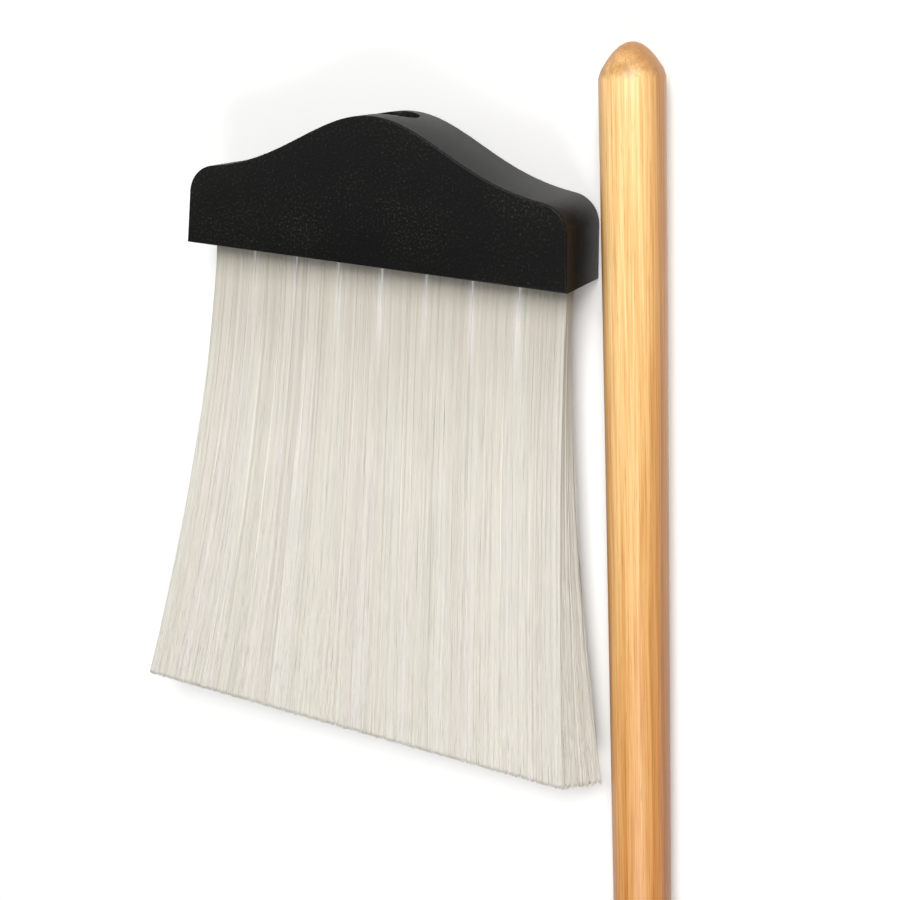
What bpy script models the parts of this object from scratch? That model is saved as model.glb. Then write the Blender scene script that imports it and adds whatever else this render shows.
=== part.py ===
"""Bee brush: a moulded block with two rows of long soft bristle tufts, and its loose push-in handle.

The kit lies on a flat surface. +X runs along the block's width, +Y from the bristles to the crown,
+Z up, out of the block's front face. The origin is on the surface, in the block's flat back face,
rest_height above the underside from which the bristles grow.
"""

import math

import bmesh
import bpy
from mathutils import Matrix, Vector

# Moulded block
block_width = 0.190
block_depth = 0.042
shoulder_height = 0.0345  # height the bell curve of the crown settles to
crown_rise = 0.0309  # height of the crown above the shoulders
crown_spread = 0.050  # half width of the bell curve
corner_radius = 0.014
side_draft = 0.0016  # each end leans in by this much below its corner
edge_fillet = 0.0012
rest_height = 0.022  # from the underside up to the origin

# Handle socket: a tapered blind hole down from the crown
socket_mouth_radius = 0.0107
socket_floor_radius = 0.0092
socket_depth = 0.054
socket_setback = 0.004  # the mouth sits behind the middle of the depth

# Bristle tufts, fused at the root and set in pockets
tuft_columns = 8
band_end_inset = 0.005  # from each end of the block to the outermost tuft's cell
band_depth = 0.010  # both rows of cells together, about the middle of the block's depth
pocket_depth = 0.008
pocket_wall = 0.001
pocket_corner = 0.0009
fit_gap = 0.0003
rows = {
    "front": {"side": 1, "length": 0.242, "flare_left": 0.0430, "flare_right": 0.0177, "lean": 0.0030},
    "back": {"side": -1, "length": 0.242, "flare_left": 0.0370, "flare_right": 0.0325, "lean": 0.0030},
}
flare_power = 1.5

# Where the bristles flex: a bending cantilever turns about a point 15 % of the way down it
flex_share = 0.15
flex_angle = math.radians(25)
flex_gap = 0.0004
knuckle_margin = 0.0012  # the knuckle's round stands this far outside the band's faces

# Handle
handle_radius = 0.014
handle_length = 0.760
dome_height = 0.013
taper_length = 0.054  # the part that seats in the socket
neck_length = 0.040  # from the tapered end up to the full round
taper_clearance = 0.0002
handle_past_crown = 0.0365
handle_turn = math.radians(6.1)
handle_gap = 0.0018

half_width = block_width / 2
band_width = block_width - 2 * band_end_inset
crown_height = shoulder_height + crown_rise
mid_depth = block_depth / 2
socket_z = mid_depth - socket_setback
flex_y = -flex_share * (rows["front"]["length"] + rows["back"]["length"]) / 2
knuckle_radius = band_depth / 2 + knuckle_margin


def material(name, colour, roughness, metallic=0.0):
    mat = bpy.data.materials.new(name)
    mat.use_nodes = True
    shader = mat.node_tree.nodes["Principled BSDF"]
    shader.inputs["Base Color"].default_value = (*colour, 1.0)
    shader.inputs["Roughness"].default_value = roughness
    shader.inputs["Metallic"].default_value = metallic
    return mat


def add_object(name, mesh, mat, smooth_angle=None):
    mesh.materials.append(mat)
    if smooth_angle is not None:
        mesh.shade_smooth()
        mesh.set_sharp_from_angle(angle=smooth_angle)
    return place(name, mesh)


def place(name, mesh):
    """Everything is modelled from the underside, and hangs on the kit's empty."""
    obj = bpy.data.objects.new(name, mesh)
    obj.parent = bpy.data.objects["kit"]
    bpy.context.collection.objects.link(obj)
    return obj


def mesh_from(bm, name):
    bmesh.ops.recalc_face_normals(bm, faces=bm.faces)
    mesh = bpy.data.meshes.new(name)
    bm.to_mesh(mesh)
    bm.free()
    return mesh


def cut(target, cutter):
    """Leaves the cutter in place as a hidden wire guide."""
    cutter.hide_render = True
    cutter.display_type = "WIRE"
    boolean = target.modifiers.new(f"cut by {cutter.name}", "BOOLEAN")
    boolean.operation = "DIFFERENCE"
    boolean.object = cutter


def crown_line(x):
    """Height of the block's top at x: a bell curve over level shoulders."""
    return shoulder_height + crown_rise * math.exp(-((x / crown_spread) ** 2))


def crown_slope(x):
    return -2 * x / crown_spread**2 * (crown_line(x) - shoulder_height)


def block_outline(crown_steps=44, corner_steps=8):
    """Outline of the block's front face, as (x, y) points from the lower right corner round."""
    centre_x = half_width - side_draft - corner_radius
    start = centre_x
    for _ in range(8):
        start = centre_x - corner_radius * math.sin(math.atan(crown_slope(start)))
    lean = math.atan(crown_slope(start))
    centre_y = crown_line(start) - corner_radius * math.cos(lean)
    right = [(half_width, 0.0)]
    for i in range(corner_steps + 1):
        angle = (math.pi / 2 + lean) * i / corner_steps
        right.append((centre_x + corner_radius * math.cos(angle), centre_y + corner_radius * math.sin(angle)))
    top = []
    for i in range(1, crown_steps):
        x = start - 2 * start * i / crown_steps
        top.append((x, crown_line(x)))
    left = [(-x, y) for x, y in reversed(right)]
    return right + top + left


def build_block(mat):
    bm = bmesh.new()
    outline = [bm.verts.new((x, y, 0.0)) for x, y in block_outline()]
    face = bm.faces.new(outline)
    grown = bmesh.ops.extrude_face_region(bm, geom=[face])
    top = [v for v in grown["geom"] if isinstance(v, bmesh.types.BMVert)]
    bmesh.ops.translate(bm, verts=top, vec=(0, 0, block_depth))
    rims = [e for e in bm.edges if abs(e.verts[0].co.z - e.verts[1].co.z) < block_depth / 2]
    bmesh.ops.bevel(bm, geom=rims, offset=edge_fillet, segments=2, profile=0.5, affect="EDGES")
    block = add_object("head_block", mesh_from(bm, "head_block"), mat, math.radians(30))
    cut(block, build_socket_cutter())
    cut(block, build_pocket_cutter())
    return block


def build_socket_cutter(segments=32, overshoot=0.004):
    """Tapered blind bore, carried on past the crown so that it cuts clean through it."""
    floor_y = crown_height - socket_depth
    slope = (socket_mouth_radius - socket_floor_radius) / socket_depth
    profile = [
        (socket_floor_radius, floor_y),
        (socket_mouth_radius + slope * overshoot, crown_height + overshoot),
    ]
    mesh = turned(profile, segments, "socket_cutter")
    cutter = place("socket_cutter", mesh)
    cutter.location.z = socket_z
    return cutter


def turned(profile, segments, name):
    """A solid turned about the Y axis from (radius, y) points, closed by a cap at each end."""
    bm = bmesh.new()
    rings = []
    for radius, y in profile:
        if radius == 0:
            rings.append([bm.verts.new((0, y, 0))])
            continue
        angles = [2 * math.pi * i / segments for i in range(segments)]
        rings.append([bm.verts.new((radius * math.cos(a), y, radius * math.sin(a))) for a in angles])
    for low, high in zip(rings, rings[1:]):
        for i in range(segments):
            j = (i + 1) % segments
            if len(high) == 1:
                bm.faces.new((low[i], low[j], high[0]))
            else:
                bm.faces.new((low[i], low[j], high[j], high[i]))
    for ring in (rings[0], rings[-1]):
        if len(ring) > 1:
            bm.faces.new(ring)
    return mesh_from(bm, name)


def tuft_cell(row, column, drop):
    """Edges of one tuft's cell at a depth below the underside: low x, high x, low z, high z."""
    data = rows[row]
    along = (drop / data["length"]) ** flare_power if drop > 0 else 0.0

    def edge(share):
        flare = data["flare_right"] if share > 0 else data["flare_left"]
        return share * (band_width / 2 + flare * along)

    left = edge(2 * column / tuft_columns - 1)
    right = edge(2 * (column + 1) / tuft_columns - 1)
    outer = band_depth / 2 + data["lean"] * along
    inner_z = mid_depth
    outer_z = mid_depth + data["side"] * outer
    return left, right, min(inner_z, outer_z), max(inner_z, outer_z)


def cell_ring(cell, inset):
    """A cell drawn in by inset: x and z of its right side going up, then its left side coming down."""
    left, right, low, high = cell
    left, right, low, high = left + inset, right - inset, low + inset, high - inset
    third = (high - low - 2 * pocket_corner) / 3
    levels = [low, low + pocket_corner, low + pocket_corner + third]
    levels += [high - pocket_corner - third, high - pocket_corner, high]
    draws = [pocket_corner, 0, 0, 0, 0, pocket_corner]
    up = [(right - draw, z) for draw, z in zip(draws, levels)]
    down = [(left + draw, z) for draw, z in zip(draws, levels)]
    return up + down[::-1]


def lofted(rings, name):
    """A solid through matching rings, its end caps made of strips that run across it."""
    bm = bmesh.new()
    made = [[bm.verts.new(point) for point in ring] for ring in rings]
    count = len(made[0])
    for a, b in zip(made, made[1:]):
        for i in range(count):
            j = (i + 1) % count
            bm.faces.new((a[i], a[j], b[j], b[i]))
    for ring in (made[0], made[-1]):
        for i in range(count // 2 - 1):
            bm.faces.new((ring[i], ring[i + 1], ring[count - 2 - i], ring[count - 1 - i]))
    return mesh_from(bm, name)


def build_pocket_cutter(overshoot=0.003):
    """One separate block for each tuft's pocket."""
    bm = bmesh.new()
    for row in rows:
        for column in range(tuft_columns):
            outline = cell_ring(tuft_cell(row, column, 0), pocket_wall / 2)
            rings = [[(x, y, z) for x, z in outline] for y in (-overshoot, pocket_depth)]
            part = lofted(rings, "pocket")
            bm.from_mesh(part)
            bpy.data.meshes.remove(part)
    return place("pocket_cutter", mesh_from(bm, "pocket_cutter"))


def tuft_ring(row, column, drop):
    outline = cell_ring(tuft_cell(row, column, drop), pocket_wall / 2 + fit_gap)
    return [(x, -drop, z) for x, z in outline]


def knuckle_ring(row, column, radius):
    """A tuft's ring where it meets the knuckle, the round about the line the bristles flex on."""
    ring = []
    for x, _, z in tuft_ring(row, column, -flex_y):
        reach = math.sqrt(radius**2 - (z - mid_depth) ** 2)
        ring.append((x, flex_y - reach, z))
    return ring


def build_root(row, column, mat):
    """The part of a tuft that stays straight: its fused plug in the pocket and its first length."""
    drops = [fit_gap - pocket_depth, 0.0, -flex_y / 2, -flex_y]
    rings = [tuft_ring(row, column, drop) for drop in drops]
    rings.append(knuckle_ring(row, column, knuckle_radius))
    name = f"tuft_root_{row}_{column + 1}"
    return add_object(name, lofted(rings, name), mat, math.radians(40))


def build_tuft(row, column, mat, steps=5):
    """The free length of a tuft, with its origin on the line it flexes about."""
    start = knuckle_radius - flex_y
    length = rows[row]["length"]
    rings = [knuckle_ring(row, column, knuckle_radius + flex_gap)]
    for i in range(1, steps + 1):
        drop = start + (length - start) * i / steps
        rings.append(tuft_ring(row, column, drop))
    origin = Vector((0, flex_y, mid_depth))
    rings = [[Vector(point) - origin for point in ring] for ring in rings]
    name = f"tuft_{row}_{column + 1}"
    tuft = add_object(name, lofted(rings, name), mat, math.radians(40))
    tuft.location = origin
    return tuft


def handle_profile(dome_steps=10):
    """(radius, y) from the tapered end, at y 0, to the tip of the dome."""
    slope = (socket_mouth_radius - socket_floor_radius) / socket_depth
    end_radius = socket_floor_radius - taper_clearance
    seat_radius = end_radius + slope * taper_length
    chamfer = 0.0010
    profile = [
        (end_radius - chamfer, 0.0),
        (end_radius, chamfer),
        (seat_radius, taper_length),
    ]
    for share in (0.25, 0.5, 0.75, 1.0):
        ease = share * share * (3 - 2 * share)
        radius = seat_radius + (handle_radius - seat_radius) * ease
        profile.append((radius, taper_length + neck_length * share))
    for i in range(dome_steps):
        fall = (1 - i / dome_steps) ** 2
        profile.append((handle_radius * math.sqrt(fall), handle_length - dome_height * fall))
    profile.append((0.0, handle_length))
    return profile


def handle_line_x():
    """x of the handle's axis level with the underside, clear of the block and of the flexed tips."""
    lean = math.tan(handle_turn)
    beside = handle_radius / math.cos(handle_turn) + handle_gap
    past_block = half_width + lean * (shoulder_height - corner_radius)
    back = rows["back"]
    nearest_tip = flex_y - (back["length"] + flex_y) * math.cos(flex_angle)
    widest = band_width / 2 + max(row["flare_right"] for row in rows.values())
    past_tips = widest + lean * nearest_tip
    return beside + max(past_block, past_tips)


def build_handle(mat):
    """Turned handle lying beside the block and bristles, its domed end past the crown."""
    handle = add_object("handle", turned(handle_profile(), 32, "handle"), mat, math.radians(35))
    tip_y = crown_height + handle_past_crown
    lean = math.tan(handle_turn)
    tip = Vector((handle_line_x() - lean * tip_y, tip_y, handle_radius))
    turn = Matrix.Rotation(handle_turn, 4, "Z")
    handle.location = tip - turn @ Vector((0, handle_length, 0))
    handle.rotation_euler = (0, 0, handle_turn)
    return handle


for old in list(bpy.data.objects):
    bpy.data.objects.remove(old)

kit = bpy.data.objects.new("kit", None)
kit.location.y = -rest_height
bpy.context.collection.objects.link(kit)

black_plastic = material("black moulded plastic", (0.012, 0.012, 0.012), 0.55)
nylon = material("off-white nylon bristle", (0.72, 0.68, 0.60), 0.45)
beech = material("varnished wood", (0.76, 0.49, 0.22), 0.35)

build_block(black_plastic)
for row_name in rows:
    for column_index in range(tuft_columns):
        build_root(row_name, column_index, nylon)
        build_tuft(row_name, column_index, nylon)
build_handle(beech)
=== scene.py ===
import math

import bmesh
import bpy
import numpy as np
from mathutils import Matrix, Vector


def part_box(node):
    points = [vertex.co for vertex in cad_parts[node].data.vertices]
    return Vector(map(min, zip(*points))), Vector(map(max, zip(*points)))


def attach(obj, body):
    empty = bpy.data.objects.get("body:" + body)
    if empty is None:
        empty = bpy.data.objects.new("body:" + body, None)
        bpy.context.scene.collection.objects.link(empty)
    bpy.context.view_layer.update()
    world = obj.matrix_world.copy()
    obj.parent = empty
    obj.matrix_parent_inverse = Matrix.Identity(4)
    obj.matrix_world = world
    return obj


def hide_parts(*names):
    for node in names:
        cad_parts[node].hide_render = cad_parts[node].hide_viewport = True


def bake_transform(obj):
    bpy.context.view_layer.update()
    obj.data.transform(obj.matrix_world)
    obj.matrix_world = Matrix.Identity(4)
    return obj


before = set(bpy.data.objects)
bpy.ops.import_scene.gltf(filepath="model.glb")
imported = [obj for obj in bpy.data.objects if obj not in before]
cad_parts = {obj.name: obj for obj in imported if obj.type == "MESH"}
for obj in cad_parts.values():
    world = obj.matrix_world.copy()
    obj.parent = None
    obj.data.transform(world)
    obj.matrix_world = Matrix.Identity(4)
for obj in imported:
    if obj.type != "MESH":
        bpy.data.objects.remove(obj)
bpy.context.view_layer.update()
bpy.context.scene.view_settings.view_transform = "Standard"  # plain colours, no film curve


def link(obj):
    bpy.context.collection.objects.link(obj)
    return obj


# '#rrggbb' in sRGB to the linear RGBA that shaders take
def linear(hexColour):
    parts = [int(hexColour[i:i + 2], 16) / 255 for i in (1, 3, 5)]
    return (*[c / 12.92 if c <= 0.04045 else ((c + 0.055) / 1.055) ** 2.4 for c in parts], 1.0)


# settings: ramp stops, the node's own properties, or its inputs by name or number
# links: an input, by name or number, from (node, output)
def addNode(tree, kind, settings, links=None):
    node = tree.nodes.new(kind)
    for key, value in settings.items():
        if key == "stops":
            while len(node.color_ramp.elements) < len(value):
                node.color_ramp.elements.new(0.5)
            for element, (position, hexColour) in zip(node.color_ramp.elements, value):
                element.position = position
                element.color = linear(hexColour)
        elif isinstance(key, str) and hasattr(node, key):
            setattr(node, key, value)
        else:
            node.inputs[key].default_value = value
    for key, (source, output) in (links or {}).items():
        tree.links.new(source.outputs[output], node.inputs[key])
    return node


# a material with its shader's plain values set; returns it with its node tree and shader
def newMaterial(name, shaderSettings):
    mat = bpy.data.materials.new(name)
    mat.use_nodes = True
    shader = mat.node_tree.nodes["Principled BSDF"]
    for key, value in shaderSettings.items():
        shader.inputs[key].default_value = value
    return mat, mat.node_tree, shader


cameraValues = {
    "place": (0.2810, 0.0964, 0.5808),
    "aim": (0.0362, -0.1075, 0.0210),
    "turn": 2.89,  # degrees, about the line of sight
    "lens": 55.1,
}


def makeCamera():
    place, aim = Vector(cameraValues["place"]), Vector(cameraValues["aim"])
    forward = (aim - place).normalized()
    right = forward.cross(Vector((0, 1, 0))).normalized()
    up = right.cross(forward)
    basis = Matrix((right, up, -forward)).transposed().to_4x4()
    data = bpy.data.cameras.new("camera")
    data.lens = cameraValues["lens"]
    data.clip_start = 0.01
    camera = link(bpy.data.objects.new("camera", data))
    turn = Matrix.Rotation(math.radians(cameraValues["turn"]), 4, "Z")
    camera.matrix_world = Matrix.Translation(place) @ basis @ turn
    bpy.context.scene.camera = camera


makeCamera()
print("camera placed")


studioValues = {
    "floorSize": 4.0,
    "floorColour": "#f6f6f5",
    "backdrop": "#f4f4f2",
    "roomLight": 0.22,  # what the walls give back
    "lamps": [
        # place, aim, width, power; none stands where the block's face would mirror it
        ((0.30, 0.90, 1.35), (0.05, -0.10, 0.0), 1.0, 28.0),
        ((0.45, -1.30, 1.25), (0.05, -0.20, 0.0), 1.0, 17.5),
        ((-1.20, 0.30, 0.95), (0.0, -0.10, 0.0), 1.0, 3.0),
    ],
}


def makeStudio():
    bm = bmesh.new()
    bmesh.ops.create_grid(bm, x_segments=1, y_segments=1, size=studioValues["floorSize"] / 2)
    mesh = bpy.data.meshes.new("studioFloor")
    bm.to_mesh(mesh)
    bm.free()
    floor = link(bpy.data.objects.new("studioFloor", mesh))
    paper, _, _ = newMaterial("matt white paper sweep", {
        "Base Color": linear(studioValues["floorColour"]), "Roughness": 0.9, "Specular IOR Level": 0.1})
    mesh.materials.append(paper)
    world = bpy.data.worlds.new("studio")
    world.use_nodes = True
    tree = world.node_tree
    room = tree.nodes["Background"]
    room.inputs["Color"].default_value = (1, 1, 1, 1)
    room.inputs["Strength"].default_value = studioValues["roomLight"]
    seen = addNode(tree, "ShaderNodeBackground", {"Color": linear(studioValues["backdrop"])})
    path = addNode(tree, "ShaderNodeLightPath", {})
    both = addNode(tree, "ShaderNodeMixShader", {},
                   {0: (path, "Is Camera Ray"), 1: (room, 0), 2: (seen, 0)})
    tree.links.new(both.outputs[0], tree.nodes["World Output"].inputs["Surface"])
    bpy.context.scene.world = world
    for place, aim, width, power in studioValues["lamps"]:
        data = bpy.data.lights.new("softbox", "AREA")
        data.size = width
        data.energy = power
        lamp = link(bpy.data.objects.new("softbox", data))
        lamp.location = place
        lamp.rotation_euler = (Vector(aim) - Vector(place)).to_track_quat("-Z", "Y").to_euler()


makeStudio()
print("studio lit")


blockLow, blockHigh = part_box("head_block")
blockWidth = blockHigh.x - blockLow.x
blockDepth = blockHigh.z - blockLow.z
blockHeight = blockHigh.y - blockLow.y
undersideY = blockLow.y
midZ = (blockLow.z + blockHigh.z) / 2

blockValues = {
    "shoulder": 0.0345,  # height that the bell curve of the crown settles to
    "crownSpread": 0.050,
    "cornerRadius": 0.014,
    "sideDraft": 0.0016,
    "fillet": 0.0009,
    "filletSteps": 4,
    "socketMouth": 0.0107,
    "socketFloor": 0.0092,
    "socketDepth": 0.054,
    "socketSetback": 0.004,
    "mouthRound": 0.0005,
    "mouthRoundSteps": 6,
    "floorChamfer": 0.001,
    "pocketDepth": 0.008,
    "cutPast": 0.004,  # how far the cutters stand out of the block
    "sharpAngle": 32,
}


def crownLine(x):
    rise = blockHeight - blockValues["shoulder"]
    return blockValues["shoulder"] + rise * math.exp(-((x / blockValues["crownSpread"]) ** 2))


def crownSlope(x):
    return -2 * x / blockValues["crownSpread"] ** 2 * (crownLine(x) - blockValues["shoulder"])


def blockOutline(crownSteps=120, cornerSteps=20):
    radius = blockValues["cornerRadius"]
    centreX = blockWidth / 2 - blockValues["sideDraft"] - radius
    start = centreX
    for _ in range(8):
        start = centreX - radius * math.sin(math.atan(crownSlope(start)))
    lean = math.atan(crownSlope(start))
    centreY = crownLine(start) - radius * math.cos(lean)
    right = [(blockWidth / 2, 0.0)]
    for i in range(cornerSteps + 1):
        angle = (math.pi / 2 + lean) * i / cornerSteps
        right.append((centreX + radius * math.cos(angle), centreY + radius * math.sin(angle)))
    crownXs = [start - 2 * start * i / crownSteps for i in range(1, crownSteps)]
    return right + [(x, crownLine(x)) for x in crownXs] + [(-x, y) for x, y in reversed(right)]


turnSteps = 96  # round the socket and the handle


# a solid turned about +Y from (radius, y) points
def turnedMesh(profile, segments, name):
    bm = bmesh.new()
    rings = []
    for radius, y in profile:
        angles = [2 * math.pi * i / segments for i in range(segments)] if radius > 0 else [0]
        rings.append([bm.verts.new((radius * math.cos(a), y, radius * math.sin(a))) for a in angles])
    for low, high in zip(rings, rings[1:]):
        for i in range(segments):
            j = (i + 1) % segments
            corners = (low[i], low[j], high[0]) if len(high) == 1 else (low[i], low[j], high[j], high[i])
            bm.faces.new(corners)
    for ring in (rings[0], rings[-1]):
        if len(ring) > 1:
            bm.faces.new(ring)
    bmesh.ops.recalc_face_normals(bm, faces=bm.faces)
    mesh = bpy.data.meshes.new(name)
    bm.to_mesh(mesh)
    bm.free()
    return mesh


def cutAway(target, cutter):
    boolean = target.modifiers.new("cut", "BOOLEAN")
    boolean.operation = "DIFFERENCE"
    boolean.object = cutter
    bpy.context.view_layer.update()
    evaluated = target.evaluated_get(bpy.context.evaluated_depsgraph_get())
    mesh = bpy.data.meshes.new_from_object(evaluated)
    target.modifiers.clear()
    target.data = mesh
    bpy.data.objects.remove(cutter)


def makeBlock():
    bm = bmesh.new()
    face = bm.faces.new([bm.verts.new((x, y + undersideY, blockLow.z)) for x, y in blockOutline()])
    grown = bmesh.ops.extrude_face_region(bm, geom=[face])
    top = [v for v in grown["geom"] if isinstance(v, bmesh.types.BMVert)]
    bmesh.ops.translate(bm, verts=top, vec=(0, 0, blockDepth))
    rims = [e for e in bm.edges if abs(e.verts[0].co.z - e.verts[1].co.z) < blockDepth / 2]
    bmesh.ops.bevel(bm, geom=rims, offset=blockValues["fillet"], segments=blockValues["filletSteps"],
                    profile=0.5, affect="EDGES")
    bmesh.ops.recalc_face_normals(bm, faces=bm.faces)
    mesh = bpy.data.meshes.new("blockShell")
    bm.to_mesh(mesh)
    bm.free()
    block = link(bpy.data.objects.new("blockShell", mesh))
    socket = blockValues
    slope = (socket["socketMouth"] - socket["socketFloor"]) / socket["socketDepth"]
    crownY = undersideY + blockHeight
    lip, steps, chamfer = socket["mouthRound"], socket["mouthRoundSteps"], socket["floorChamfer"]
    floorY, lipY = crownY - socket["socketDepth"], crownY - 2.2 * lip
    profile = [(socket["socketFloor"] - chamfer, floorY), (socket["socketFloor"], floorY + chamfer),
               (socket["socketMouth"] - slope * lip, lipY)]
    for i in range(1, steps + 1):  # the mouth flares out to a small round
        angle = math.pi / 2 * i / steps
        flare = lip * (1 - math.cos(angle))
        profile.append((socket["socketMouth"] + flare, lipY + 2.4 * lip * math.sin(angle)))
    profile.append((socket["socketMouth"] + 1.3 * lip, crownY + socket["cutPast"]))
    cutter = link(bpy.data.objects.new("socketCutter", turnedMesh(profile, turnSteps, "socketCutter")))
    cutter.location = (0, 0, midZ - socket["socketSetback"])
    cutAway(block, cutter)
    cutAway(block, pocketCutter())
    block.data.shade_smooth()
    block.data.set_sharp_from_angle(angle=math.radians(blockValues["sharpAngle"]))
    return block


tuftValues = {
    "columns": 8,
    "bandWidth": 0.1800,
    "bandDepth": 0.0100,
    "pocketWall": 0.001,
    "pocketCorner": 0.0009,
    "fitGap": 0.0003,
    "flarePower": 1.5,
    "rows": {
        "front": {"side": 1, "length": 0.242, "flareLeft": 0.0430, "flareRight": 0.0177, "lean": 0.0030},
        "back": {"side": -1, "length": 0.242, "flareLeft": 0.0370, "flareRight": 0.0325, "lean": 0.0030},
    },
    "plugDrop": 0.0014,  # how far the fused root stands out below the block
    "plugRim": 0.0002,
    "plugEdge": 0.0001,
    "plugGleam": 0.30,
    "massInset": 0.0007,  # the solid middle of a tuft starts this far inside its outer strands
    "massEnd": 0.0014,
    "furrow": 0.00006,
    "spreadDrop": 0.003,
    "overlap": 0.0002,
    "massRings": 26,
    "lastRing": 0.001,  # the stained tip of the middle
    "massSteps": 110,
    "strandWidth": 0.00050,  # thicker than a usual filament, so that it still shows
    "strandSides": 3,
    "bendSteps": 9,  # close steps over the part that bends
    "bendShare": 0.42,
    "tailSteps": 5,
    "rootHidden": 0.002,  # strands start this far inside the block
    "rimStrands": 420,
    "endRimStrands": 640,
    "proud": 0.00003,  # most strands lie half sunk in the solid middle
    "looseProud": 0.00016,
    "looseShare": 0.03,
    "endStrands": 170,
    "endLength": 0.006,
    "clumps": 26,
    "clumpPull": 0.22,
    "wave": 0.0004,
    "tipJitter": 0.00045,
    "tipShare": 0.008,  # last piece of each strand, which takes the stain
    "seamGleam": (0.35, 0.45, 0.60, 1.00, 0.65, 1.00, 0.95),  # light between neighbours, left to right
    "seamFade": 0.045,
    "stainedTips": 0.12,
    "stainFrom": 0.995,
    "faceShare": (0.80, 0.06),  # strands for each bit of rim: at the band's ends, and between neighbours
    "backShare": (0.70, 0.04),  # and on the side towards the other row
    "toneScatter": 0.06,
    "fadeIn": 8,  # furrows and loose strands come in over an eighth of the length
    "tipStain": 0.35,
    "bendFrom": 0.010,  # below the block, the bend grows from here
    "bendTo": 0.090,
}


# left, right, inner and outer edge of one tuft's cell at a depth below the underside, for a place
# between its inner face, 0, and its outer face, 1; the ends of the band slant from one row to the other
def tuftCell(row, column, drop, outward=0.0):
    data, other = [tuftValues["rows"][name] for name in (row, "back" if row == "front" else "front")]
    along = (np.maximum(drop, 0) / data["length"]) ** tuftValues["flarePower"]

    def edge(share):
        name = "flareRight" if share > 0 else "flareLeft"
        middle = (data[name] + other[name]) / 2
        return share * (tuftValues["bandWidth"] / 2 + (middle + (data[name] - middle) * outward) * along)

    left = edge(2 * column / tuftValues["columns"] - 1)
    right = edge(2 * (column + 1) / tuftValues["columns"] - 1)
    return left, right, midZ, midZ + data["side"] * (tuftValues["bandDepth"] / 2 + data["lean"] * along)


def pocketCutter():
    bm = bmesh.new()
    inset, corner = tuftValues["pocketWall"] / 2, tuftValues["pocketCorner"]
    for row in tuftValues["rows"]:
        for column in range(tuftValues["columns"]):
            left, right, inner, outer = [float(v) for v in tuftCell(row, column, 0.0)]
            left, right = left + inset + corner, right - inset - corner
            low, high = min(inner, outer) + inset + corner, max(inner, outer) - inset - corner
            ring = []
            for x, z, first in ((right, high, 0), (left, high, 90), (left, low, 180), (right, low, 270)):
                for step in range(4):
                    angle = math.radians(first + 30 * step)
                    ring.append((x + corner * math.cos(angle), z + corner * math.sin(angle)))
            made = [[bm.verts.new((x, y, z)) for x, z in ring]
                    for y in (undersideY - blockValues["cutPast"], undersideY + blockValues["pocketDepth"])]
            for i in range(len(ring)):
                j = (i + 1) % len(ring)
                bm.faces.new((made[0][i], made[0][j], made[1][j], made[1][i]))
            bm.faces.new(made[0])
            bm.faces.new(made[1])
    bmesh.ops.recalc_face_normals(bm, faces=bm.faces)
    mesh = bpy.data.meshes.new("pocketCutter")
    bm.to_mesh(mesh)
    bm.free()
    return link(bpy.data.objects.new("pocketCutter", mesh))


cellWide = tuftValues["bandWidth"] / tuftValues["columns"]
cellDeep = tuftValues["bandDepth"] / 2
rimCorners = np.cumsum([0, cellWide, cellDeep, cellWide, cellDeep]) / (2 * (cellWide + cellDeep))


# places round a tuft's rim, 0 to 1, as shares across it and outward; it starts along the outer face
def rimShares(around, share):
    across = np.interp(around % 1, rimCorners, [-1, 1, 1, -1, -1])
    outward = np.interp(around % 1, rimCorners, [1, 1, -1, -1, 1])
    ease = (np.abs(across) ** 10 + np.abs(outward) ** 10) ** -0.1  # rounds the corners near the root
    ease = 1 - (1 - ease) * np.clip(1 - 6 * share, 0, 1)
    return 0.5 + 0.5 * across * ease, 0.5 + 0.5 * outward * ease


# x and z of a place in a tuft; openInset holds on the faces that show, tuckedInset against its neighbours
def tuftPlace(row, column, drop, across, outward, openInset, tuckedInset):
    left, right, inner, outer = tuftCell(row, column, drop, outward)
    side = tuftValues["rows"][row]["side"]
    left = left + (openInset if column == 0 else tuckedInset)
    right = right - (openInset if column == tuftValues["columns"] - 1 else tuckedInset)
    inner, outer = inner + side * tuckedInset, outer - side * openInset
    return left + (right - left) * across, inner + (outer - inner) * outward


# neighbours close up a few millimetres below the block
def closedInset(drop):
    spread = np.clip((drop - tuftValues["plugDrop"]) / tuftValues["spreadDrop"], 0, 1)
    rootInset = tuftValues["pocketWall"] / 2 + tuftValues["fitGap"]
    return rootInset * (1 - spread) - tuftValues["overlap"] * spread


# soft combed streaks: slow random waves round a tuft that drift a little down its length, 0 to 1
def combStreaks(waves, around, share):
    total = 0
    for turns, phase, drift in waves:
        total = total + np.sin(2 * np.pi * turns * around + phase + drift * share) / turns ** 0.3
    return 0.5 + 0.5 * np.tanh(total / 1.2)


# light that comes through between neighbouring tufts, strongest at the root
def seamLight(column, across, outward, drop):
    fade = np.clip(1 - drop / tuftValues["seamFade"], 0, 1)
    glow = np.abs(2 * across - 1) ** (5 + 8 * fade) * fade ** 0.8 * (outward > 0.8)
    gleam = (0.0, *tuftValues["seamGleam"], 0.0)
    return glow * np.where(across > 0.5, gleam[column + 1], gleam[column])


# a tube of rings, each a row of points, with both ends closed; faces count from firstVert
def tubeFaces(firstVert, tubes, rings, sides):
    index = firstVert + np.arange(tubes * rings * sides).reshape(tubes, rings, sides)
    beside = np.roll(index, -1, axis=2)
    quads = np.stack([index[:, :-1], beside[:, :-1], beside[:, 1:], index[:, 1:]], -1).reshape(-1, 4)
    return quads.tolist() + index[:, 0, ::-1].tolist() + index[:, -1].tolist()


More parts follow.
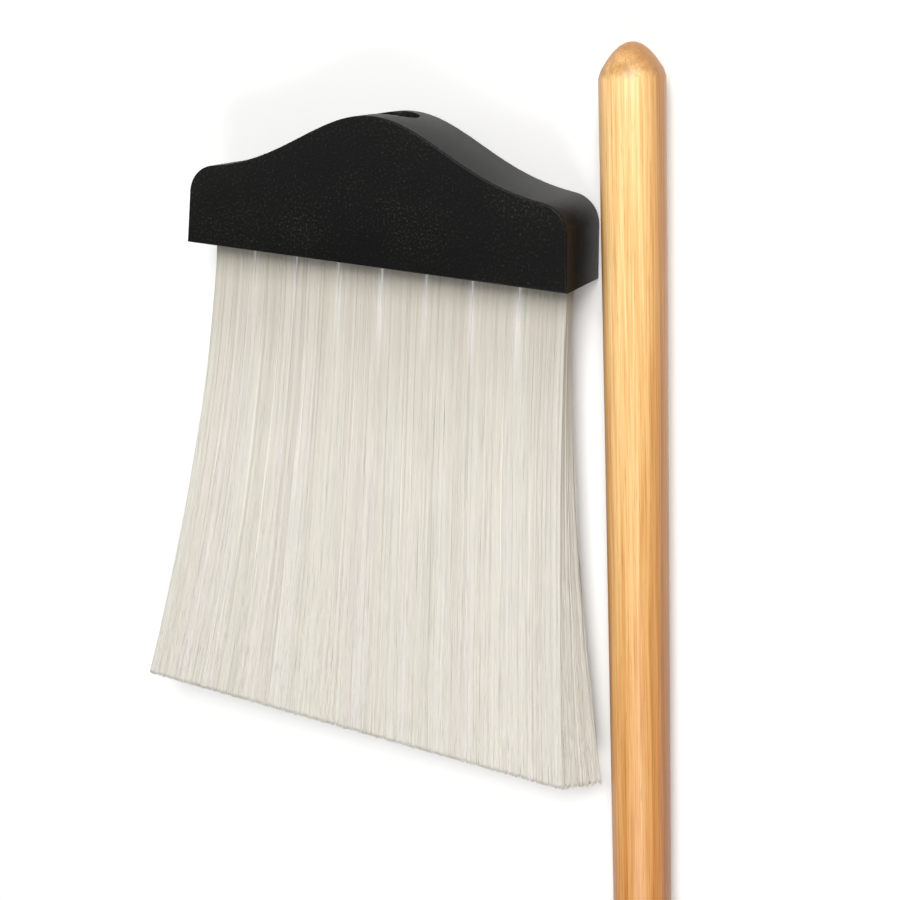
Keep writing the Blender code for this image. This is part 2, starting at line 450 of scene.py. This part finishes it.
# strands from their centre lines, each a row of points
def strandTubes(paths, rng):
    count, steps, _ = paths.shape
    sides = tuftValues["strandSides"]
    angles = (np.arange(sides) * 2 * np.pi / sides + rng.uniform(0, 1.5, (count, 1)))[:, None, :]
    radius = tuftValues["strandWidth"] / 2 * rng.uniform(0.8, 1.2, (count, 1, 1))
    radius = radius * np.where(np.arange(steps) == steps - 1, 0.65, 1.0)[None, :, None]
    points = np.repeat(paths[:, :, None, :], sides, axis=2)
    points[..., 0] += np.cos(angles) * radius
    points[..., 2] += np.sin(angles) * radius
    return points


def makeTuft(row, column):
    v = tuftValues
    rng = np.random.default_rng(100 * column + (7 if row == "front" else 8))
    length, side = v["rows"][row]["length"], v["rows"][row]["side"]
    waves, tintWaves, furrows = [[(turns, *rng.uniform(-1, 1, 2) * (np.pi, 2.5)) for turns in group]
                                 for group in ((3, 5, 9, 14, 23, 37), (2, 5, 8, 13), (9, 16, 27, 41))]
    rootInset = v["pocketWall"] / 2 + v["fitGap"]

    # the solid middle of the tuft, with the fused plug at its root; columns are x, y, z and the five looks
    rim, edge, base = v["plugRim"], v["plugEdge"], v["plugDrop"]
    plug = [(rootInset - blockValues["pocketDepth"], rootInset), (edge, rootInset), (2 * edge, rim + edge),
            (4 * edge, rim), (base - 3 * edge, rim), (base - edge, rim + edge), (base, rootInset)]
    ringDrops = np.linspace(base + 3 * edge, length - v["massEnd"], v["massRings"])
    ringDrops = np.insert(ringDrops, 1, base + np.array([0.25, 0.5, 1.0]) * v["spreadDrop"])
    ringDrops = np.insert(ringDrops, -1, ringDrops[-1] - v["lastRing"])
    drops = np.concatenate([[drop for drop, _ in plug], ringDrops])[:, None]
    isPlug = (np.arange(len(drops)) < len(plug))[:, None]
    plugInset = np.concatenate([[inset for _, inset in plug], 0 * ringDrops])[:, None]
    around = np.arange(v["massSteps"])[None, :] / v["massSteps"]
    around = around[:, ::-1] if side > 0 else around
    share = np.clip(drops / length, 0, 1)

    def furrowed(places, shares):
        ripple = 2 * combStreaks(furrows, places, shares) - 1
        return v["massInset"] + v["furrow"] * ripple * np.clip(shares * v["fadeIn"], 0, 1)

    across, outward = rimShares(around, share)
    openInset = np.where(isPlug, plugInset, furrowed(around, share))
    x, z = tuftPlace(row, column, drops, across, outward, openInset,
                     np.where(isPlug, plugInset, closedInset(drops)))
    gleam = np.where(isPlug, v["plugGleam"], seamLight(column, across, outward, drops))
    grid = (x, undersideY - drops, z, share, combStreaks(waves, around, share),
            combStreaks(tintWaves, around, share), gleam, np.where(drops >= ringDrops[-1], v["tipStain"], 0.0))
    blocks = [np.stack([np.broadcast_to(part, x.shape).reshape(-1) for part in grid], 1)]
    faces = tubeFaces(0, 1, len(drops), v["massSteps"])

    def addStrands(x, drops, z, looks):
        nonlocal faces
        faces = faces + tubeFaces(sum(len(part) for part in blocks), *x.shape, v["strandSides"])
        points = strandTubes(np.stack([x, undersideY - drops, z], 2), rng).reshape(-1, 3)
        looks = [np.repeat(np.broadcast_to(look, x.shape), v["strandSides"]) for look in looks]
        blocks.append(np.concatenate([points, np.stack(looks, 1)], 1))

    # strands round the rim, thick on the faces that show
    isFirst, isLast = column == 0, column == v["columns"] - 1
    count = v["endRimStrands"] if isFirst or isLast else v["rimStrands"]
    rightShare, leftShare = [v["faceShare"][0 if isEnd else 1] for isEnd in (isLast, isFirst)]
    behind = v["backShare"][0 if isFirst or isLast else 1]  # one row spreads past the other at the ends
    weight = np.cumsum([0, cellWide, cellDeep * rightShare, cellWide * behind, cellDeep * leftShare])
    picks = (np.arange(count) + rng.uniform(0, 1, count)) / count
    start = np.interp(picks, weight / weight[-1], rimCorners)[:, None]
    centres = np.sort(rng.uniform(0, 1, v["clumps"]))
    nearest = centres[np.argmin(np.abs(start - centres[None]), axis=1)][:, None]
    tail = np.linspace(v["bendShare"], 1 - v["tipShare"], v["tailSteps"])
    share = np.concatenate([np.linspace(0, v["bendShare"], v["bendSteps"])[:-1], tail, [1.0]])[None, :]
    hidden = v["rootHidden"]
    drops = -hidden + (length + rng.normal(0, v["tipJitter"], (count, 1)) + hidden) * share
    around = start + v["clumpPull"] * np.sin(np.pi * np.clip(share * 1.1, 0, 1)) * (nearest - start)
    for turns in (1.1, 2.6):
        wander = np.sin(2 * np.pi * (turns * share + rng.uniform(0, 1, (count, 1))))
        around = around + v["wave"] / (2 * (cellWide + cellDeep)) * share * wander
    across, outward = rimShares(around, share)
    proud = np.where(rng.uniform(0, 1, (count, 1)) < v["looseShare"], v["looseProud"], v["proud"])
    proud = proud * rng.uniform(0.2, 1, (count, 1)) * np.clip(share * v["fadeIn"], 0, 1)
    x, z = tuftPlace(row, column, drops, across, outward, furrowed(around, share) - proud,
                     closedInset(drops) - proud)
    stained = (rng.uniform(0, 1, (count, 1)) < v["stainedTips"]) & (share > v["stainFrom"])
    tone = combStreaks(waves, around, share) + rng.normal(0, v["toneScatter"], (count, 1))
    addStrands(x, drops, z, (share, tone, combStreaks(tintWaves, around, share),
                             seamLight(column, across, outward, drops), stained))

    # cut ends that stand out of the solid middle
    count = v["endStrands"]
    across, outward = rng.uniform(0.03, 0.97, (2, count, 1))
    share = np.linspace(1 - v["endLength"] / length, 1, 3)[None, :]
    drops = share * (length + rng.normal(0, v["tipJitter"], (count, 1)))
    x, z = tuftPlace(row, column, drops, across, outward, v["massInset"], 0.0)
    stained = (rng.uniform(0, 1, (count, 1)) < v["stainedTips"]) & (share > v["stainFrom"])
    addStrands(x, drops, z, (share, across, outward, 0.0, stained))

    table = np.concatenate(blocks)
    mesh = bpy.data.meshes.new(f"bristleTuft_{row}_{column + 1}")
    mesh.from_pydata(table[:, :3].tolist(), [], faces)
    for place, label in enumerate(("along", "tone", "tint", "gleam", "stain")):
        attribute = mesh.attributes.new(label, "FLOAT", "POINT")
        attribute.data.foreach_set("value", table[:, 3 + place].astype(np.float32))
    corners = np.zeros(len(faces), np.int32)
    mesh.polygons.foreach_get("loop_total", corners)
    mesh.polygons.foreach_set("use_smooth", corners == 4)  # flat cut ends
    return link(bpy.data.objects.new(mesh.name, mesh))


# nylon 6 filament, drawn and left uncoloured: milky, slightly see-through, with a soft long gleam
def makeNylon():
    mat, tree, shader = newMaterial("drawn natural nylon filament", {
        "Roughness": 0.5, "IOR": 1.53, "Specular IOR Level": 0.35, "Subsurface Weight": 0.15,
        "Subsurface Radius": (1.0, 0.92, 0.8), "Subsurface Scale": 0.0025})
    along, tone, tint, gleam, stain = [addNode(tree, "ShaderNodeAttribute", {"attribute_name": name})
                                       for name in ("along", "tone", "tint", "gleam", "stain")]
    # painted shade: darker and warmer near the root, below the block
    fall = addNode(tree, "ShaderNodeValToRGB", {"stops": [
        (0.01, "#dad6cc"), (0.05, "#d0cbc1"), (0.11, "#d0cbc2"), (0.24, "#dad6ce"), (0.42, "#e0dcd5")]},
        {"Fac": (along, "Fac")})
    light = addNode(tree, "ShaderNodeValToRGB", {"stops": [
        (0.0, "#f8f6f3"), (0.5, "#fbfaf8"), (1.0, "#fefefe")]}, {"Fac": (tone, "Fac")})
    hue = addNode(tree, "ShaderNodeValToRGB", {"stops": [
        (0.1, "#fdfefa"), (0.5, "#fefefb"), (0.9, "#fefdfc")]}, {"Fac": (tint, "Fac")})
    colour = addNode(tree, "ShaderNodeMix", {"data_type": "RGBA", "blend_type": "MULTIPLY", 0: 1.0},
                     {6: (fall, "Color"), 7: (light, "Color")})
    colour = addNode(tree, "ShaderNodeMix", {"data_type": "RGBA", "blend_type": "MULTIPLY", 0: 1.0},
                     {6: (colour, 2), 7: (hue, "Color")})
    colour = addNode(tree, "ShaderNodeMix", {"data_type": "RGBA", 7: linear("#ffffff")},
                     {0: (gleam, "Fac"), 6: (colour, 2)})
    colour = addNode(tree, "ShaderNodeMix", {"data_type": "RGBA", 7: linear("#a89a80")},
                     {0: (stain, "Fac"), 6: (colour, 2)})
    tree.links.new(colour.outputs[2], shader.inputs["Base Color"])
    return mat


handleValues = {
    "radius": 0.014,
    "length": 0.760,
    "turn": 6.1,  # degrees, from +Y
    "domeHeight": 0.013,
    "creaseRound": 0.0012,
    "taperLength": 0.054,
    "neckLength": 0.040,
    "taperEnd": 0.0090,
    "taperSeat": 0.0105,
    "endChamfer": 0.001,
    "sharpAngle": 40,
    "taperSteps": 6,
    "neckSteps": 16,
    "shaftSteps": 40,
    "domeSteps": 24,
}


def handleProfile():
    v = handleValues
    end, chamfer = v["taperEnd"], v["endChamfer"]
    profile = [(end - chamfer, 0.0), (end - 0.3 * chamfer, 0.3 * chamfer), (end, chamfer)]
    for i in range(1, v["taperSteps"] + 1):
        share = i / v["taperSteps"]
        profile.append((end + (v["taperSeat"] - end) * share, v["taperLength"] * share))
    for i in range(1, v["neckSteps"] + 1):
        share = i / v["neckSteps"]
        ease = share * share * (3 - 2 * share)
        radius = v["taperSeat"] + (v["radius"] - v["taperSeat"]) * ease
        profile.append((radius, v["taperLength"] + v["neckLength"] * share))
    shaftStart, shaftEnd = profile[-1][1], v["length"] - v["domeHeight"] - v["creaseRound"]
    for i in range(1, v["shaftSteps"] + 1):
        profile.append((v["radius"], shaftStart + (shaftEnd - shaftStart) * i / v["shaftSteps"]))
    for i in range(1, v["domeSteps"]):
        fall = (1 - i / v["domeSteps"]) ** 2
        radius = v["radius"] * math.sqrt(fall)
        profile.append((radius * (0.985 if i == 1 else 1.0), v["length"] - v["domeHeight"] * fall))
    profile.append((0.0, v["length"]))
    return profile


def makeHandle():
    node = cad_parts["handle"]
    tip = max((v.co for v in node.data.vertices), key=lambda co: co.y)
    turn = Matrix.Rotation(math.radians(handleValues["turn"]), 4, "Z")
    mesh = turnedMesh(handleProfile(), turnSteps, "turnedHandle")
    place = Matrix.Translation(tip) @ turn @ Matrix.Translation((0, -handleValues["length"], 0))
    mesh.transform(place)
    mesh.shade_smooth()
    mesh.set_sharp_from_angle(angle=math.radians(handleValues["sharpAngle"]))
    return link(bpy.data.objects.new("turnedHandle", mesh)), tip.copy()


# turned hardwood dowel under thin clear varnish: pale gold with long straight grain, short brown pores,
# a deeper tone low down, painted shade towards both sides, and a stained round end
def makeWood(tip):
    mat, tree, shader = newMaterial("varnished hardwood dowel", {
        "Roughness": 0.48, "IOR": 1.5, "Coat Weight": 0.22, "Coat Roughness": 0.25})
    coords = addNode(tree, "ShaderNodeTexCoord", {})
    # grain runs along the handle's own +Y, which ends at its tip
    local = addNode(tree, "ShaderNodeMapping", {"vector_type": "TEXTURE", "Location": tip,
                    "Rotation": (0, 0, math.radians(handleValues["turn"]))}, {"Vector": (coords, "Object")})
    noises = []
    for scale, detail, roughness in (
            ((230, 4, 230), 3.0, 0.55),  # growth bands, 4 mm
            ((1400, 16, 1400), 4.0, 0.62),  # fibres, 0.7 mm, coarser than in wood so that they show
            ((2900, 75, 2900), 1.0, 0.5)):  # open pores, 0.35 by 13 mm
        stretched = addNode(tree, "ShaderNodeMapping", {"Scale": scale}, {"Vector": (local, "Vector")})
        noises.append(addNode(
            tree, "ShaderNodeTexNoise", {"Scale": 1.0, "Detail": detail, "Roughness": roughness},
            {"Vector": (stretched, "Vector")}))
    broad, fibre, pore = noises
    bands = addNode(tree, "ShaderNodeValToRGB", {"stops": [
        (0.30, "#dab06e"), (0.44, "#ebc486"), (0.56, "#f6d79f"), (0.72, "#ecc286")]}, {"Fac": (broad, "Fac")})
    fibres = addNode(tree, "ShaderNodeValToRGB", {"stops": [
        (0.30, "#cfa878"), (0.45, "#f0dcc0"), (0.58, "#ffffff"), (1.0, "#fff8ea")]}, {"Fac": (fibre, "Fac")})
    pores = addNode(tree, "ShaderNodeValToRGB", {"stops": [(0.62, "#000000"), (0.74, "#b0b0b0")]},
                    {"Fac": (pore, "Fac")})
    place = addNode(tree, "ShaderNodeSeparateXYZ", {}, {"Vector": (local, "Vector")})
    lowDown = addNode(tree, "ShaderNodeMapRange", {"From Min": -0.10, "From Max": -0.38},
                      {"Value": (place, "Y")})
    deeper = addNode(tree, "ShaderNodeValToRGB", {"stops": [(0.0, "#fffaf2"), (1.0, "#ddbb93")]},
                     {"Fac": (lowDown, "Result")})
    # painted shade: a little darker towards both sides, lightest along the top of the dowel
    height = addNode(tree, "ShaderNodeMapRange", {"From Min": 0.35 * handleValues["radius"],
                     "From Max": handleValues["radius"]}, {"Value": (place, "Z")})
    sides = addNode(tree, "ShaderNodeValToRGB", {"stops": [
        (0.0, "#bfa688"), (0.35, "#e6d6c4"), (0.8, "#ffffff")]}, {"Fac": (height, "Result")})
    colour = addNode(tree, "ShaderNodeMix", {"data_type": "RGBA", "blend_type": "MULTIPLY", 0: 0.7},
                     {6: (bands, "Color"), 7: (fibres, "Color")})
    for shade in (deeper, sides):
        colour = addNode(tree, "ShaderNodeMix", {"data_type": "RGBA", "blend_type": "MULTIPLY", 0: 1.0},
                         {6: (colour, 2), 7: (shade, "Color")})
    # varnish soaked into the end grain of the dome, in clouds
    onDome = addNode(tree, "ShaderNodeMapRange", {"From Min": -0.0150, "From Max": -0.0115},
                     {"Value": (place, "Y")})
    cloud = addNode(tree, "ShaderNodeTexNoise", {"Scale": 130.0, "Detail": 3.0},  # clouds of 8 mm
                    {"Vector": (local, "Vector")})
    clouds = addNode(tree, "ShaderNodeMapRange", {
        "From Min": 0.35, "From Max": 0.65, "To Min": 0.10, "To Max": 0.75}, {"Value": (cloud, "Fac")})
    soaked = addNode(tree, "ShaderNodeMath", {"operation": "MULTIPLY"},
                     {0: (onDome, "Result"), 1: (clouds, "Result")})
    for amount, output in ((pores, "Color"), (soaked, "Value")):
        colour = addNode(tree, "ShaderNodeMix", {"data_type": "RGBA", 7: linear("#a8743c")},
                         {0: (amount, output), 6: (colour, 2)})
    tree.links.new(colour.outputs[2], shader.inputs["Base Color"])
    bump = addNode(tree, "ShaderNodeBump", {"Strength": 0.25, "Distance": 0.0002}, {"Height": (fibre, "Fac")})
    tree.links.new(bump.outputs["Normal"], shader.inputs["Normal"])
    return mat


# structural-foam polypropylene with black colourant: nearly black and satin, with fine pale specks
def makePlastic():
    mat, tree, shader = newMaterial("black structural-foam polypropylene", {
        "Roughness": 0.45, "IOR": 1.49, "Specular IOR Level": 0.18})
    coords = addNode(tree, "ShaderNodeTexCoord", {})
    # grain and specks of 1 mm, coarser than moulded grain mostly is so that they show, in 36 mm patches
    grain, speck, patch = [
        addNode(tree, "ShaderNodeTexNoise", {"Scale": scale, "Detail": detail}, {"Vector": (coords, "Object")})
        for scale, detail in ((1000.0, 2.0), (1000.0, 1.0), (28.0, 2.0))]
    both = addNode(tree, "ShaderNodeMath", {"operation": "MULTIPLY_ADD", 1: 0.4},
                   {0: (patch, "Fac"), 2: (speck, "Fac")})
    tint = addNode(tree, "ShaderNodeValToRGB", {"stops": [
        (0.66, "#060606"), (0.79, "#0d0d0c"), (0.96, "#262621")]}, {"Fac": (both, "Value")})
    tree.links.new(tint.outputs["Color"], shader.inputs["Base Color"])
    bump = addNode(tree, "ShaderNodeBump", {"Strength": 0.25, "Distance": 0.0001}, {"Height": (grain, "Fac")})
    tree.links.new(bump.outputs["Normal"], shader.inputs["Normal"])
    return mat


block = makeBlock()
block.data.materials.clear()
block.data.materials.append(makePlastic())
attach(block, "block")
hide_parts("head_block")
print("block moulded")

nylon = makeNylon()
for rowName in tuftValues["rows"]:
    for tuftColumn in range(tuftValues["columns"]):
        tuft = makeTuft(rowName, tuftColumn)
        tuft.data.materials.append(nylon)
        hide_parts(f"tuft_{rowName}_{tuftColumn + 1}", f"tuft_root_{rowName}_{tuftColumn + 1}")
        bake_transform(tuft)
print("tufts set")

handle, handleTip = makeHandle()
handle.data.materials.append(makeWood(handleTip))
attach(handle, "handle")
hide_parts("handle")
print("handle turned")
